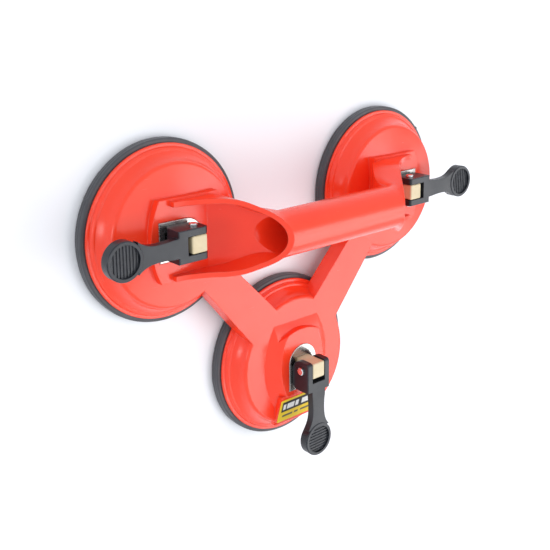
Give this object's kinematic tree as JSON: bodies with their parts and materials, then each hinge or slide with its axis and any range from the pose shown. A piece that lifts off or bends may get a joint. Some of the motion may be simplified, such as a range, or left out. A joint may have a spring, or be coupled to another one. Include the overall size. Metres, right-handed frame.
{
  "type": "vacuum suction lifter",
  "caption": "Suction lifter: rubber vacuum cups under a one-piece plastic shell with a hollow grip tube, each cup drawn up by a cam lever on a square stem.",
  "frame": {"origin": "centre of the footprint's bounding box, on the plane the rubber cups stand on", "axes": "+X along the grip tube, +Z out of the suction plane towards the grip, so the cup that has no grip over it stands on the -Y side"},
  "size_m": [0.3304, 0.2378, 0.077],
  "materials": {
    "shell": "glossy moulded ABS, bright red",
    "rubber": "smooth moulded rubber, dark grey",
    "steel": "zinc-plated steel",
    "stem": "cream moulded engineering plastic",
    "steel_bright": "bright ground steel",
    "plate": "pressed steel sheet",
    "lever": "satin glass-filled nylon, black",
    "label": "printed vinyl sticker, yellow"
  },
  "bodies": {
    "shell": {"frame": "shell", "pad_left": "rubber", "pad_front": "rubber", "pad_right": "rubber", "plate_left": "plate", "plate_front": "plate", "plate_right": "plate", "label": "label"},
    "stem_left": {"stem_left": "stem", "pin_left": "steel_bright", "insert_left": "steel"},
    "lever_left": {"lever_left": "lever"},
    "stem_front": {"stem_front": "stem", "pin_front": "steel_bright", "insert_front": "steel"},
    "lever_front": {"lever_front": "lever"},
    "stem_right": {"stem_right": "stem", "pin_right": "steel_bright", "insert_right": "steel"},
    "lever_right": {"lever_right": "lever"}
  },
  "joints": [
    {"name": "stem_slide_left", "type": "slide", "parent": "shell", "child": "stem_left", "axis": [0, 0, 1], "range_m": [-0.003, 0], "deforming": ["pad_left"]},
    {"name": "lever_hinge_left", "type": "hinge", "parent": "stem_left", "child": "lever_left", "pos_m": [-0.1, 0.0589, 0.03925], "axis": [0, 1, 0], "range_deg": [0, 90]},
    {"name": "stem_slide_front", "type": "slide", "parent": "shell", "child": "stem_front", "axis": [0, 0, 1], "range_m": [-0.003, 0], "deforming": ["pad_front"]},
    {"name": "lever_hinge_front", "type": "hinge", "parent": "stem_front", "child": "lever_front", "pos_m": [0, -0.0537, 0.03925], "axis": [-1, 0, 0], "range_deg": [0, 90]},
    {"name": "stem_slide_right", "type": "slide", "parent": "shell", "child": "stem_right", "axis": [0, 0, 1], "range_m": [-0.003, 0], "deforming": ["pad_right"]},
    {"name": "lever_hinge_right", "type": "hinge", "parent": "stem_right", "child": "lever_right", "pos_m": [0.1, 0.0589, 0.03925], "axis": [0, -1, 0], "range_deg": [0, 90]}
  ],
  "couplings": [
    {"joint": "lever_hinge_left", "follows": "stem_slide_left", "rad_per_m": -523.6},
    {"joint": "lever_hinge_front", "follows": "stem_slide_front", "rad_per_m": -523.6},
    {"joint": "lever_hinge_right", "follows": "stem_slide_right", "rad_per_m": -523.6}
  ]
}
